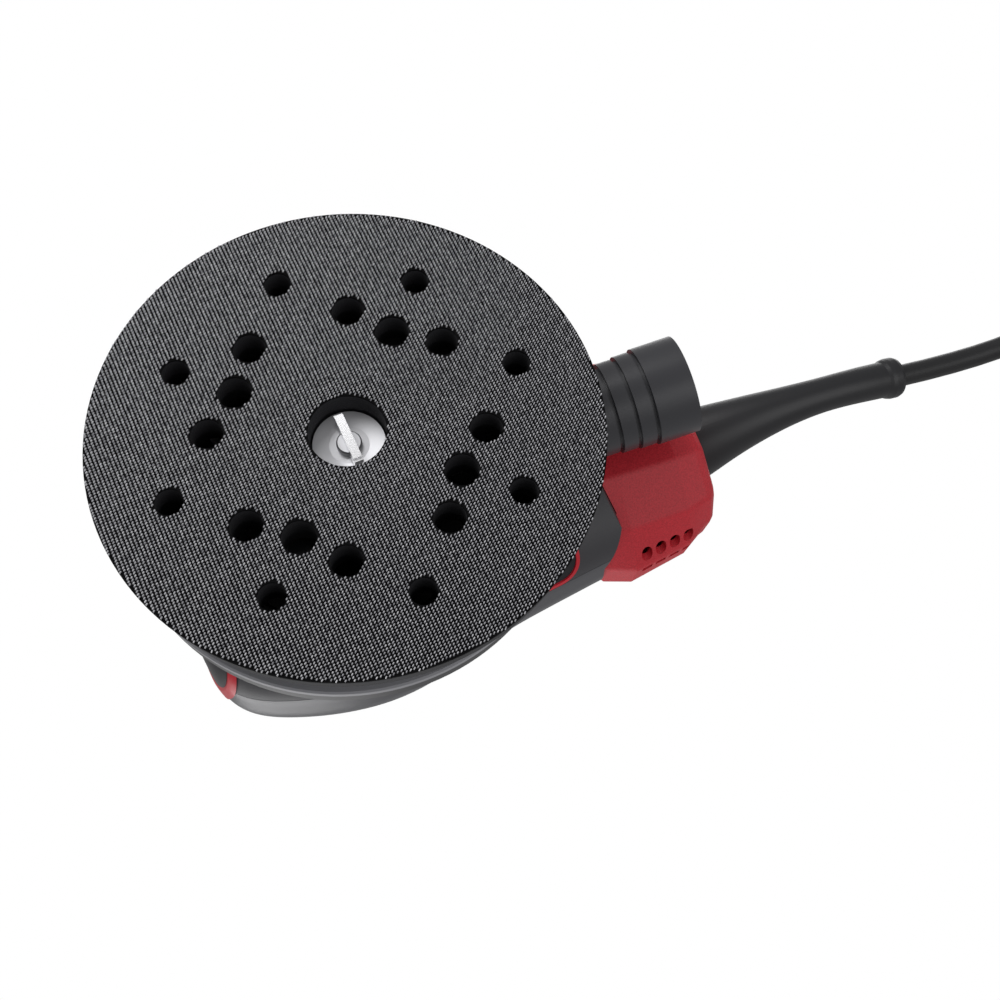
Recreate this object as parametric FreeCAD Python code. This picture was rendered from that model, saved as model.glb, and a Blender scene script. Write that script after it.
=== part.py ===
"""Random orbital sander for 150 mm discs with a brushless motor, standing on its sanding pad.

Millimetres, +Z up. The origin is the centre of the sanding face, the tail and the lead point
along +X, and the plane Y = 0 is the plane of symmetry. The motor axis stands half an orbit
in front of the pad axis.
"""
import FreeCAD
import Part
import math
import os

V = FreeCAD.Vector

# ---- Fits and walls -------------------------------------------------------------------
RUNNING_FIT = 0.05          # radial clearance of shafts, pins and threads
SEAM_GAP = 0.25             # parting line between two mouldings
MOVING_GAP = 0.35           # clearance round keys and wheels
WALL = 2.6                  # housing wall

# ---- Sanding pad ----------------------------------------------------------------------
PAD_R = 75.0
HOOK_T = 1.2                # hook-and-loop facing
FOAM_T = 7.3
PLATE_T = 4.5               # moulded backing plate
PLATE_EDGE = 4.0            # how far the plate stays inside the foam edge
FOAM_TAPER = 1.2            # the foam narrows towards the plate
CENTRE_HOLE_R = 11.4
RECESS_DEPTH = 9.4          # sanding face to clamp washer
OUTER_HOLES = (8, 54.0, 4.1)          # count, pitch radius, hole radius
GROUP_MIDDLE = (4, 35.3, 5.05)
GROUP_FLANK = (4, 40.15, 4.75)
GROUP_FLANK_ANGLE = 22.0    # flank hole to middle hole of one group
OUTER_START = -6.6          # angle of the first outer hole
GROUP_START = 38.4          # angle of the first middle hole

# ---- Clamp screw and hub --------------------------------------------------------------
WASHER_R = 10.8
WASHER_T = 2.0
WASHER_DISH = 0.6
SCREW_R = 3.0
SCREW_BOSS_R = 3.8
SCREW_BOSS_H = 1.4
SCREW_LENGTH = 18.0
WING_LENGTH = 16.4
WING_T = 2.7
WING_TOP = 4.3              # sanding face to the wing's free edge
WING_ANGLE = 84.0           # how the wing stands at rest
WING_NOTCH = 0.9
WASHER_PLAY = 0.1           # washer face to wing foot
HUB_FLANGE_R = 20.0
HUB_FLANGE_T = 2.0
HUB_BOSS_R = 14.0
HUB_H = 5.6
PILOT_R = 6.0

# ---- Drive ----------------------------------------------------------------------------
ORBIT_OFFSET = 2.5          # half of the 5 mm orbit
SPINDLE_FLANGE_R = 12.0
SPINDLE_FLANGE_T = 3.0
CARRIER_GAP = 1.0           # spindle flange to carrier
CARRIER_WALL = 3.0
CARRIER_WEB_T = 3.0
CARRIER_BOSS_R = 10.0
CARRIER_BOSS_H = 9.0
WEIGHT_R = (20.0, 34.0)
WEIGHT_H = 12.0
WEIGHT_HALF_ANGLE = 62.0
FAN_R = 43.0
FAN_DISC_T = 1.5
FAN_BLADE_H = 5.0
FAN_BLADE_T = 1.6
FAN_BLADES = 9
FAN_BLADE_START = 21.0
SPINDLE_BEARING = (6.0, 14.0, 8.0, 8)       # bore radius, outer radius, width, balls
LOWER_BEARING = (5.0, 13.0, 8.0, 8)
UPPER_BEARING = (4.0, 11.0, 7.0, 7)

# ---- Motor ----------------------------------------------------------------------------
CAN_R = 42.5
CAN_WALL = 2.5
CAN_H = 39.0
CAN_FOOT_T = 3.0
CAN_TOP_T = 3.0
STATOR_BORE_R = 21.0
STATOR_YOKE = 5.0
STATOR_H = 26.0
STATOR_Z = 9.0              # can foot to the core
TEETH = 9
TOOTH_W = 7.0
COIL_T = 2.4
ROTOR_R = 20.4
MAGNET_T = 2.8
ROTOR_H = 24.0
BEARING_PLATE_T = 3.0
PLATE_HUB_WALL = 3.0
PLATE_LIP_R = 8.0
SEAT_LIP = 1.0              # shoulder under each motor bearing

# ---- Dust shroud and spout ------------------------------------------------------------
SHROUD_LIP_R = 68.8
SHROUD_WALL = 2.4
SHROUD_Z = 31.2             # lower edge of the shroud
SHROUD_SKIRT_H = 6.0
SHROUD_NECK_R = 54.0
SHROUD_TOP_Z = 50.0
SHROUD_FLANGE_T = 3.0
SHROUD_FLANGE_BORE = 44.5
RIM_H = 2.6                 # soft rim clipped under the shroud edge
RIM_PROUD = 0.5
BRAKE_R = 62.0              # pad brake lip
BRAKE_T = 1.6
BRAKE_GAP = 0.35
SPOUT_REF = V(62.0, 0.0, 38.9)        # point on the spout's axis
SPOUT_DROP = 5.7            # fall of the spout towards its mouth, degrees
# distances below are along the spout's axis from SPOUT_REF
STUB_R = 12.5
STUB_BORE_R = 10.8
STUB_END = 19.8
SOCKET_START = 8.0
SOCKET_END = 20.0
SOCKET_R = 12.6
ADAPTOR_BORE_R = 12.3
ADAPTOR_STEPS = [(22.5, 14.3), (28.5, 14.9), (34.5, 15.4), (48.0, 16.0)]    # end, radius
GROOVE_W = 1.2
GROOVE_DEPTH = 1.0
FLANGE_SCREWS = (4, 47.5, 2.0, 3.4, 2.2)    # count, pitch radius, shank, head, head height

# ---- Housing outline ------------------------------------------------------------------
NECK_R = 53.0
NECK_TOP_Z = 68.0
# station x, half width, lowest z, highest z
BODY_STATIONS = [
    (-64.5, 15.1, 66.0, 95.0),
    (-61.5, 28.0, 60.0, 101.0),
    (-55.0, 43.2, 55.0, 107.0),
    (-46.0, 49.2, 52.5, 110.0),
    (-33.0, 53.1, 50.6, 113.0),
    (-17.0, 55.5, 50.0, 115.0),
    (0.0, 55.0, 50.0, 115.5),
    (20.0, 50.0, 50.0, 114.5),
    (39.0, 44.6, 50.5, 111.5),
    (58.0, 41.1, 52.5, 107.5),
    (72.0, 38.7, 54.5, 104.8),
    (86.0, 37.0, 56.0, 103.0),
]
BODY_SQUARENESS = 2.5
SECTION_POINTS = 20
COVER_LOW_Z = 72.0          # lower edge of the grey side covers
COVER_HIGH_Z = 96.0         # lower edge of the palm grip
STRIPE_X = -55.2            # middle of the stripe at STRIPE_REF_Z
STRIPE_REF_Z = 70.0
STRIPE_LEAN = -0.30         # forward lean of the stripe, mm per mm of height
STRIPE_W = 2.2
STRIPE_PROUD = 0.4
PALM_END_X = 38.0
PALM_PROUD = 0.5

# ---- Finger grips ---------------------------------------------------------------------
GRIP_X = (-26.0, 62.5)
GRIP_Z = (53.5, 68.8)
GRIP_CORNER = 6.5
GRIP_PROUD = 0.4
GRIP_DEPTH = 1.3
GRIP_MIN_Y = 14.0
PIPING_W = 1.3
PIPING_PROUD = 0.9

# ---- Tail cap -------------------------------------------------------------------------
# side view of the cap's front edge, x and z from below to above
SEAM_LINE = [
    (76.5, 40.0), (77.5, 56.0), (80.5, 63.0), (73.0, 76.0),
    (73.0, 90.0), (78.5, 101.0), (78.5, 130.0)]
CAP_START = [(15.0, 57.0), (27.5, 66.0), (35.4, 80.0), (34.4, 94.0), (27.0, 103.0), (15.0, 107.0)]
CAP_FRONT = [(15.0, 57.0), (31.0, 66.0), (41.2, 80.0), (39.8, 94.0), (30.0, 103.5), (15.0, 107.0)]
CAP_MIDDLE = [(15.0, 57.0), (30.6, 65.6), (37.4, 80.0), (35.8, 93.0), (28.0, 102.5), (15.0, 106.5)]
CAP_REAR = [(14.0, 58.5), (28.5, 66.0), (32.6, 79.0), (31.0, 93.0), (24.5, 102.0), (13.0, 106.0)]
CAP_OUTLINES = (CAP_START, CAP_FRONT, CAP_MIDDLE, CAP_REAR)
CAP_X = (68.0, 84.0, 105.0, 112.5)
CAP_REAR_ROUNDING = [(1.8, 0.6), (3.4, 2.2), (4.4, 4.6)]    # beyond the last station, inset
CAP_MIDDLE_Z = 82.0
CAP_FILLET = 4.0            # rounding of the lengthwise edges
COLLAR = (-10.5, 16.5, 13.7)          # start along the lead, start and end radius
VENTS = 4
VENT_X = 88.5
VENT_PITCH = 5.3
OVAL_Z = 75.8
OVAL_SIZE = (4.0, 4.6)
SLOT_Z = 82.6
SLOT_SIZE = (4.0, 3.6)

# ---- Lead -----------------------------------------------------------------------------
CORD_R = 3.9
LEAD_ROOT = V(122.0, 0.0, 86.0)       # where the strain relief leaves the tail
LEAD_DROP = 24.0            # fall of the lead at its root, degrees
RELIEF_BEND_R = 115.0       # upward sweep of the strain relief
LEAD_RISE = 9.0             # rise of the lead beyond it, degrees
# inside the tail the lead runs straight, bends level and passes the clamp
INNER_STRAIGHT = 14.5
INNER_BEND_R = 25.0
INNER_LEVEL = 8.0
RELIEF_END = 80.0           # along the lead from its root to the free end
# distance along the lead from its root, and radius
RELIEF_PROFILE = [
    (0.0, 12.7), (7.0, 11.5), (14.0, 10.2), (24.0, 8.6),
    (36.0, 7.1), (50.0, 6.25), (66.0, 6.4), (73.4, 6.5)]
RELIEF_BEAD = [(73.4, 6.5), (74.6, 7.05), (76.0, 7.35), (78.4, 7.35), (79.6, 6.9), (80.0, 6.2)]
RELIEF_NECK_R = 9.8         # inside the collar
RELIEF_FLANGE = (109.9, 2.3, 11.3)    # x of its front face, thickness, radius
LEAD_FIRST_RUN = 40.0
# the lead's corners after its first run, as it drops to the floor
LEAD_FALL = [V(272.0, -0.5, 70.5), V(286.0, -4.0, 35.5), V(316.0, -16.0, 12.5)]
LEAD_LANDING = 38.0         # landing corner to coil middle, along X
LEAD_LAST = 14.0            # end of the loose lead to coil middle, along X
COIL_MEAN_R = 45.0
COIL_CENTRE = (382.0, 34.0)
LAYER_NEST = 0.866          # a layer that lies in the grooves of the one below
COIL_ROWS = (5, 4, 4)       # turns in each layer, from the floor up
PLUG_BODY = [(0.0, 6.2), (7.0, 6.8), (24.0, 9.5), (31.0, 17.4), (33.0, 18.45), (46.0, 18.45), (47.5, 17.4)]
PLUG_TAIL = 40.0            # free lead between coil and plug
PLUG_START = 18.0           # coil middle to the start of that lead
PIN_R = 2.4
PIN_LENGTH = 19.0
PIN_SPACING = 19.0
PIN_ROOT = 6.0              # pin length moulded into the plug
TIE_FOOT = 0.8
TIE_W = 12.0
TIE_T = 1.6

# ---- Controls -------------------------------------------------------------------------
KEY_X = (44.0, 57.0)
KEY_W = 17.0
KEY_PROUD = 1.4
KEY_FOOT_Z = 103.0
KEY_CORNER = 2.5
SWITCH_Z = (84.0, 98.6)
SWITCH_W = 24.0
POST_T = 3.0
SPRING_R = 3.0
SPRING_WIRE_R = 0.35
SPRING_TURNS = 3
WHEEL_X = 68.5
WHEEL_R = 9.5
WHEEL_W = 7.0
WHEEL_TOP_Z = 108.4
AXLE_R = 1.6
DIAL_BLOCK_W = 9.0
MODULE_SIZE = (14.5, 27.0, 11.0)
MODULE_X = 75.5
CLAMP_X = (91.5, 97.5)
CLAMP_W = 24.0
CLAMP_RIB_Z = 89.0
CLAMP_TOP_Z = 100.2
CLAMP_SCREW_Y = 8.6
CLAMP_SCREW_R = 1.4

# ---- Heights that follow from the sizes above ------------------------------------------
PLATE_Z = HOOK_T + FOAM_T
PLATE_TOP_Z = PLATE_Z + PLATE_T
HUB_Z = RECESS_DEPTH + WASHER_T
HUB_TOP_Z = HUB_Z + HUB_H
FLANGE_TOP_Z = HUB_TOP_Z + SPINDLE_FLANGE_T
CARRIER_Z = FLANGE_TOP_Z + CARRIER_GAP
CARRIER_WEB_Z = CARRIER_Z + 2 * SPINDLE_BEARING[2]
CARRIER_BOSS_Z = CARRIER_WEB_Z + CARRIER_WEB_T
CARRIER_TOP_Z = CARRIER_BOSS_Z + CARRIER_BOSS_H
FAN_DISC_Z = CARRIER_TOP_Z - 4.0
PLATE_SEAT_Z = SHROUD_TOP_Z + BEARING_PLATE_T
LOWER_BEARING_Z = SHROUD_TOP_Z + BEARING_PLATE_T + SEAT_LIP
CAN_Z = PLATE_SEAT_Z
CAN_TOP_Z = CAN_Z + CAN_H
UPPER_BEARING_Z = CAN_TOP_Z + CAN_TOP_T
STATOR_LOW_Z = CAN_Z + STATOR_Z
MOTOR_X = -ORBIT_OFFSET


def disc(radius, z0, z1, x=0.0, y=0.0):
    """Upright cylinder."""
    return Part.makeCylinder(radius, z1 - z0, V(x, y, z0))


def ring(outer, inner, z0, z1, x=0.0):
    """Upright tube."""
    return disc(outer, z0, z1, x).cut(disc(inner, z0 - 1, z1 + 1, x))


def block(x0, x1, y0, y1, z0, z1):
    return Part.makeBox(x1 - x0, y1 - y0, z1 - z0, V(x0, y0, z0))


def turned(points, x=0.0):
    """Solid turned about an upright axis from (radius, z) corners."""
    corners = [V(x + r, 0, z) for r, z in points]
    face = Part.Face(Part.makePolygon(corners + corners[:1]))
    return face.revolve(V(x, 0, 0), V(0, 0, 1), 360)


def polar(radius, angle, x=0.0):
    a = math.radians(angle)
    return x + radius * math.cos(a), radius * math.sin(a)


def side_prism(points, y0=-90.0, y1=90.0):
    """Prism across the machine from an (x, z) outline."""
    corners = [V(x, y0, z) for x, z in points]
    face = Part.Face(Part.makePolygon(corners + corners[:1]))
    return face.extrude(V(0, y1 - y0, 0))


def group(solids):
    return Part.makeCompound(solids)


def joined(solids):
    return solids[0].fuse(solids[1:]).removeSplitter()


def save(name, shape):
    shape.exportStep("parts/%s.step" % name)


# ---- Pad ------------------------------------------------------------------------------

def dust_hole_places():
    """Centre and radius of each dust hole in the pad."""
    count, pitch_r, hole_r = OUTER_HOLES
    for i in range(count):
        yield polar(pitch_r, OUTER_START + 360.0 * i / count), hole_r
    groups = GROUP_MIDDLE[0]
    for i in range(groups):
        angle = GROUP_START + 360.0 * i / groups
        yield polar(GROUP_MIDDLE[1], angle), GROUP_MIDDLE[2]
        for side in (-1, 1):
            yield polar(GROUP_FLANK[1], angle + side * GROUP_FLANK_ANGLE), GROUP_FLANK[2]


def drilled(shape, z0, z1):
    """The shape with the dust holes through it."""
    drills = [disc(r, z0 - 1, z1 + 1, x, y) for (x, y), r in dust_hole_places()]
    return shape.cut(drills)


def hook_facing():
    return drilled(ring(PAD_R, CENTRE_HOLE_R, 0, HOOK_T), 0, HOOK_T)


def foam_pad():
    body = turned([
        (CENTRE_HOLE_R, HOOK_T), (PAD_R, HOOK_T),
        (PAD_R - FOAM_TAPER, PLATE_Z), (CENTRE_HOLE_R, PLATE_Z)])
    return drilled(body, HOOK_T, PLATE_Z)


def pad_plate():
    edge = PAD_R - PLATE_EDGE
    body = turned([
        (CENTRE_HOLE_R, PLATE_Z), (edge, PLATE_Z), (edge - 3.0, PLATE_TOP_Z),
        (HUB_FLANGE_R, PLATE_TOP_Z), (HUB_FLANGE_R, HUB_Z), (CENTRE_HOLE_R, HUB_Z)])
    return drilled(body, PLATE_Z, PLATE_TOP_Z)


def pad_hub():
    bore = PILOT_R + RUNNING_FIT
    flange_top = HUB_Z + HUB_FLANGE_T
    return turned([
        (bore, HUB_Z), (HUB_FLANGE_R, HUB_Z), (HUB_FLANGE_R, flange_top),
        (HUB_BOSS_R, flange_top), (HUB_BOSS_R, HUB_TOP_Z), (bore, HUB_TOP_Z)])


def spindle():
    shaft_top = CARRIER_WEB_Z - 0.5
    body = turned([
        (0, HUB_Z + 0.3), (PILOT_R, HUB_Z + 0.3), (PILOT_R, HUB_TOP_Z),
        (SPINDLE_FLANGE_R, HUB_TOP_Z), (SPINDLE_FLANGE_R, FLANGE_TOP_Z),
        (SPINDLE_BEARING[0] + 1.2, FLANGE_TOP_Z), (SPINDLE_BEARING[0] + 1.2, CARRIER_Z),
        (SPINDLE_BEARING[0], CARRIER_Z), (SPINDLE_BEARING[0], shaft_top), (0, shaft_top)])
    return body.cut(disc(SCREW_R + RUNNING_FIT, HUB_Z, HUB_Z + SCREW_LENGTH + 0.6))


def clamp_washer():
    bore = SCREW_R + RUNNING_FIT
    return turned([
        (bore, RECESS_DEPTH + WASHER_DISH), (WASHER_R * 0.55, RECESS_DEPTH + WASHER_DISH),
        (WASHER_R, RECESS_DEPTH), (WASHER_R, HUB_Z - 0.5), (WASHER_R - 0.5, HUB_Z), (bore, HUB_Z)])


def wing_block():
    """Flat wing standing on its edge, its foot just under the washer face."""
    foot = RECESS_DEPTH - WASHER_PLAY
    half = WING_LENGTH / 2
    wing = block(-half, half, -WING_T / 2, WING_T / 2, WING_TOP, foot)
    for side in (-1, 1):
        edge = side * half
        notch = block(min(edge, edge - side * WING_NOTCH), max(edge, edge - side * WING_NOTCH),
                      -WING_T, WING_T, WING_TOP - 1, WING_TOP + WING_NOTCH)
        wing = wing.cut(notch)
    wing.rotate(V(0, 0, 0), V(0, 0, 1), WING_ANGLE)
    return wing


def clamp_screw():
    seat = RECESS_DEPTH + WASHER_DISH
    boss_low = RECESS_DEPTH - SCREW_BOSS_H
    body = turned([
        (0, boss_low), (SCREW_BOSS_R - 0.4, boss_low), (SCREW_BOSS_R, boss_low + 0.4),
        (SCREW_BOSS_R, seat), (SCREW_R, seat), (SCREW_R, HUB_Z + SCREW_LENGTH),
        (0, HUB_Z + SCREW_LENGTH)])
    return body.cut(wing_block())


# ---- Bearings -------------------------------------------------------------------------

def bearing(spec, z, x):
    """Outer race, inner race and balls of one deep-groove bearing."""
    bore, outer, width, balls = spec
    pitch = (bore + outer) / 2
    ball_r = (outer - bore) * 0.29
    groove_r = ball_r + RUNNING_FIT
    land = (outer - bore) * 0.31
    middle = z + width / 2
    groove = Part.makeTorus(pitch, groove_r, V(x, 0, middle))
    outer_race = ring(outer, outer - land, z, z + width, x).cut(groove)
    inner_race = ring(bore + land, bore, z, z + width, x).cut(groove)
    spheres = []
    for i in range(balls):
        bx, by = polar(pitch, 360.0 * i / balls, x)
        spheres.append(Part.makeSphere(ball_r, V(bx, by, middle)))
    return outer_race, inner_race, spheres


def spindle_bearings():
    width = SPINDLE_BEARING[2]
    first = bearing(SPINDLE_BEARING, CARRIER_Z, 0.0)
    second = bearing(SPINDLE_BEARING, CARRIER_Z + width, 0.0)
    return group([first[0], second[0]]), group([first[1], second[1]]), group(first[2] + second[2])


def motor_bearings():
    lower = bearing(LOWER_BEARING, LOWER_BEARING_Z, MOTOR_X)
    upper = bearing(UPPER_BEARING, UPPER_BEARING_Z, MOTOR_X)
    return group([lower[0], upper[0]]), group([lower[1], upper[1]]), group(lower[2] + upper[2])


# ---- Drive ----------------------------------------------------------------------------

def weight_sector(z0, z1, inner, outer):
    """Sector of a ring on the side away from the pad axis."""
    reach = outer * 2
    half = WEIGHT_HALF_ANGLE
    angles = [180 - half, 180 - half / 3, 180 + half / 3, 180 + half]
    corners = [V(MOTOR_X, 0, z0)]
    for angle in angles:
        px, py = polar(reach, angle, MOTOR_X)
        corners.append(V(px, py, z0))
    wedge = Part.Face(Part.makePolygon(corners + corners[:1])).extrude(V(0, 0, z1 - z0))
    return ring(outer, inner, z0, z1, MOTOR_X).common(wedge)


def eccentric_carrier():
    outer = SPINDLE_BEARING[1] + CARRIER_WALL
    cup = ring(outer, SPINDLE_BEARING[1], CARRIER_Z, CARRIER_WEB_Z)
    web = disc(outer, CARRIER_WEB_Z, CARRIER_BOSS_Z)
    arm = weight_sector(CARRIER_WEB_Z, CARRIER_BOSS_Z, 10.0, WEIGHT_R[1])
    boss = disc(CARRIER_BOSS_R, CARRIER_BOSS_Z, CARRIER_TOP_Z, MOTOR_X)
    body = joined([cup, web, arm, boss])
    return body.cut(disc(LOWER_BEARING[0], CARRIER_BOSS_Z - 1, CARRIER_TOP_Z + 1, MOTOR_X))


def counterweight():
    return weight_sector(CARRIER_WEB_Z - WEIGHT_H, CARRIER_WEB_Z, WEIGHT_R[0], WEIGHT_R[1])


def dust_fan():
    plate = ring(FAN_R, CARRIER_BOSS_R, FAN_DISC_Z, FAN_DISC_Z + FAN_DISC_T, MOTOR_X)
    sleeve = ring(CARRIER_BOSS_R + 2, CARRIER_BOSS_R, FAN_DISC_Z, FAN_DISC_Z + 3.5, MOTOR_X)
    blades = []
    for i in range(FAN_BLADES):
        blade = block(FAN_BLADE_START, FAN_R - 0.5, -FAN_BLADE_T / 2, FAN_BLADE_T / 2,
                      FAN_DISC_Z - FAN_BLADE_H, FAN_DISC_Z)
        blade.rotate(V(FAN_BLADE_START, 0, 0), V(0, 0, 1), -28)
        blade.rotate(V(0, 0, 0), V(0, 0, 1), 360.0 * i / FAN_BLADES)
        blade.translate(V(MOTOR_X, 0, 0))
        blades.append(blade)
    return joined([plate, sleeve] + blades)


def rotor_shaft():
    shoulder = CAN_TOP_Z - 1
    top = UPPER_BEARING_Z + UPPER_BEARING[2] + 0.6
    return turned([
        (0, CARRIER_BOSS_Z - 1), (LOWER_BEARING[0], CARRIER_BOSS_Z - 1), (LOWER_BEARING[0], shoulder),
        (UPPER_BEARING[0], shoulder), (UPPER_BEARING[0], top), (0, top)], MOTOR_X)


def rotor_core():
    z0 = STATOR_LOW_Z + (STATOR_H - ROTOR_H) / 2
    return ring(ROTOR_R - MAGNET_T, LOWER_BEARING[0], z0, z0 + ROTOR_H, MOTOR_X)


def rotor_magnets():
    z0 = STATOR_LOW_Z + (STATOR_H - ROTOR_H) / 2
    return ring(ROTOR_R, ROTOR_R - MAGNET_T, z0, z0 + ROTOR_H, MOTOR_X)


# ---- Motor ----------------------------------------------------------------------------

def tooth_blocks(half_width, r0, r1, z0, z1):
    blocks = []
    for i in range(TEETH):
        tooth = block(r0, r1, -half_width, half_width, z0, z1)
        tooth.rotate(V(0, 0, 0), V(0, 0, 1), 360.0 * i / TEETH)
        tooth.translate(V(MOTOR_X, 0, 0))
        blocks.append(tooth)
    return blocks


def stator_core():
    outer = CAN_R - CAN_WALL
    z1 = STATOR_LOW_Z + STATOR_H
    yoke = ring(outer, outer - STATOR_YOKE, STATOR_LOW_Z, z1, MOTOR_X)
    teeth = tooth_blocks(TOOTH_W / 2, STATOR_BORE_R - 2, outer - 1, STATOR_LOW_Z, z1)
    body = joined([yoke] + teeth)
    return body.cut(disc(STATOR_BORE_R, STATOR_LOW_Z - 1, z1 + 1, MOTOR_X))


def stator_windings():
    """One coil round each tooth."""
    outer = CAN_R - CAN_WALL - STATOR_YOKE - 0.3
    inner = STATOR_BORE_R + 4.5
    z0 = STATOR_LOW_Z
    z1 = STATOR_LOW_Z + STATOR_H
    outsides = tooth_blocks(TOOTH_W / 2 + COIL_T, inner, outer, z0 - COIL_T, z1 + COIL_T)
    teeth = tooth_blocks(TOOTH_W / 2, inner - 1, outer + 1, z0, z1)
    bound = disc(outer, z0 - COIL_T - 1, z1 + COIL_T + 1, MOTOR_X)
    return group([coil.cut(tooth).common(bound) for coil, tooth in zip(outsides, teeth)])


def motor_can():
    inner = CAN_R - CAN_WALL
    foot_r = NECK_R - WALL - 0.6
    hub_r = UPPER_BEARING[1] + CAN_WALL
    hub_top = UPPER_BEARING_Z + UPPER_BEARING[2]
    body = turned([
        (inner, CAN_Z), (foot_r, CAN_Z), (foot_r, CAN_Z + CAN_FOOT_T), (CAN_R, CAN_Z + CAN_FOOT_T),
        (CAN_R, UPPER_BEARING_Z), (hub_r, UPPER_BEARING_Z), (hub_r, hub_top),
        (UPPER_BEARING[1], hub_top), (UPPER_BEARING[1], UPPER_BEARING_Z),
        (UPPER_BEARING[0] + 2.5, UPPER_BEARING_Z), (UPPER_BEARING[0] + 2.5, CAN_TOP_Z),
        (inner, CAN_TOP_Z)], MOTOR_X)
    return body.cut(screw_holes(CAN_Z - 1, CAN_Z + CAN_FOOT_T + 1))


def screw_places():
    count, pitch_r = FLANGE_SCREWS[:2]
    return [polar(pitch_r, 45 + 360.0 * i / count, MOTOR_X) for i in range(count)]


def screw_holes(z0, z1):
    return [disc(FLANGE_SCREWS[2], z0, z1, x, y) for x, y in screw_places()]


def bearing_plate():
    hub_r = LOWER_BEARING[1] + PLATE_HUB_WALL
    hub_top = LOWER_BEARING_Z + LOWER_BEARING[2]
    body = turned([
        (PLATE_LIP_R, SHROUD_TOP_Z), (NECK_R - WALL - 0.3, SHROUD_TOP_Z),
        (NECK_R - WALL - 0.3, PLATE_SEAT_Z), (hub_r, PLATE_SEAT_Z), (hub_r, hub_top),
        (LOWER_BEARING[1], hub_top), (LOWER_BEARING[1], LOWER_BEARING_Z),
        (PLATE_LIP_R, LOWER_BEARING_Z)], MOTOR_X)
    return body.cut(screw_holes(SHROUD_TOP_Z - 1, PLATE_SEAT_Z + 1))


def flange_screws():
    """Pan-head screws that hold shroud, bearing plate and motor together."""
    shank, head, head_h = FLANGE_SCREWS[2:]
    head_z = SHROUD_TOP_Z - SHROUD_FLANGE_T
    screws = []
    for x, y in screw_places():
        body = disc(head, head_z - head_h, head_z, x, y)
        body = body.fuse(disc(shank, head_z, CAN_Z + CAN_FOOT_T, x, y)).removeSplitter()
        slot = disc(1.6, head_z - head_h - 1, head_z - head_h + 1.2, x, y)
        screws.append(body.cut(slot))
    return group(screws)


# ---- Shroud ---------------------------------------------------------------------------

def shroud_profile(inset):
    """(radius, z) line from the lower edge to the top flange, moved inwards by inset."""
    skirt_top = SHROUD_Z + SHROUD_SKIRT_H
    return [
        (SHROUD_LIP_R - inset, SHROUD_Z), (SHROUD_LIP_R - inset, skirt_top - inset * 0.4),
        (SHROUD_LIP_R - 6.5 - inset * 0.7, skirt_top + 5.5 - inset * 0.8),
        (SHROUD_NECK_R - inset, skirt_top + 10.8 - inset)]


def spout_rod(radius, start, end):
    """Round bar along the spout's axis, distances counted from SPOUT_REF."""
    a = math.radians(SPOUT_DROP)
    along = V(math.cos(a), 0, -math.sin(a))
    return Part.makeCylinder(radius, end - start, SPOUT_REF + along * start, along)


def dust_shroud():
    outer = shroud_profile(0.0) + [(SHROUD_NECK_R, SHROUD_TOP_Z), (0, SHROUD_TOP_Z), (0, SHROUD_Z)]
    flange_z = SHROUD_TOP_Z - SHROUD_FLANGE_T
    neck_in = SHROUD_NECK_R - SHROUD_WALL
    inner = [(SHROUD_LIP_R - SHROUD_WALL, SHROUD_Z - 1)] + shroud_profile(SHROUD_WALL)[1:]
    inner += [(neck_in, flange_z), (0, flange_z), (0, SHROUD_Z - 1)]
    # the spout's root stays under the shroud's top and outside its open mouth
    stub = spout_rod(STUB_R, -22.0, STUB_END)
    stub = stub.cut(block(30, 57, -20, 20, SHROUD_TOP_Z, 70))
    mouth = disc(SHROUD_LIP_R - SHROUD_WALL, 0, SHROUD_Z, MOTOR_X)
    duct = spout_rod(STUB_BORE_R, -32.0, STUB_END + 1).cut(block(20, 62, -20, 20, flange_z, 70))
    body = joined([turned(outer, MOTOR_X), stub])
    body = body.cut([turned(inner, MOTOR_X), duct, mouth])
    bore = disc(SHROUD_FLANGE_BORE - 1.0, flange_z - 1, SHROUD_TOP_Z + 1, MOTOR_X)
    return body.cut([bore] + screw_holes(flange_z - 1, SHROUD_TOP_Z + 1))


def shroud_rim():
    """Soft grey rim under the shroud edge."""
    outer = SHROUD_LIP_R + RIM_PROUD
    inner = SHROUD_LIP_R - SHROUD_WALL - RIM_PROUD
    low = SHROUD_Z - RIM_H
    ring_form = turned([
        (inner, low + 0.6), (inner + 0.6, low), (outer - 0.6, low), (outer, low + 0.6),
        (outer, SHROUD_Z), (inner, SHROUD_Z)], MOTOR_X)
    return ring_form.cut(spout_rod(STUB_R + RUNNING_FIT, -10, 20))


def brake_skirt():
    """Rubber skirt that hangs inside the shroud and brakes the idling pad."""
    low = PLATE_TOP_Z + BRAKE_GAP
    top = SHROUD_Z + SHROUD_SKIRT_H - 1.0
    seat = SHROUD_LIP_R - SHROUD_WALL
    return turned([
        (BRAKE_R, low), (BRAKE_R + BRAKE_T, low), (seat - 1.5, top - 4.0), (seat, top - 4.0),
        (seat, top - 2.4), (seat - BRAKE_T - 1.2, top - 2.4)], MOTOR_X)


def hose_adaptor():
    """Stepped socket for the dust hose, its outside grooved at each step."""
    start = SOCKET_START
    mouth = ADAPTOR_STEPS[-1][0]
    sleeves = []
    grooves = []
    for end, radius in ADAPTOR_STEPS:
        sleeves.append(spout_rod(radius, start, end))
        cutter = spout_rod(radius + 2, end - GROOVE_W, end)
        if end < mouth:
            grooves.append(cutter.cut(spout_rod(radius - GROOVE_DEPTH, end - 2, end + 1)))
        start = end
    socket = spout_rod(SOCKET_R, SOCKET_START - 1, SOCKET_END)
    bore = spout_rod(ADAPTOR_BORE_R, SOCKET_END - 1, mouth + 1)
    return joined(sleeves).cut(grooves + [socket, bore])


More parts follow.
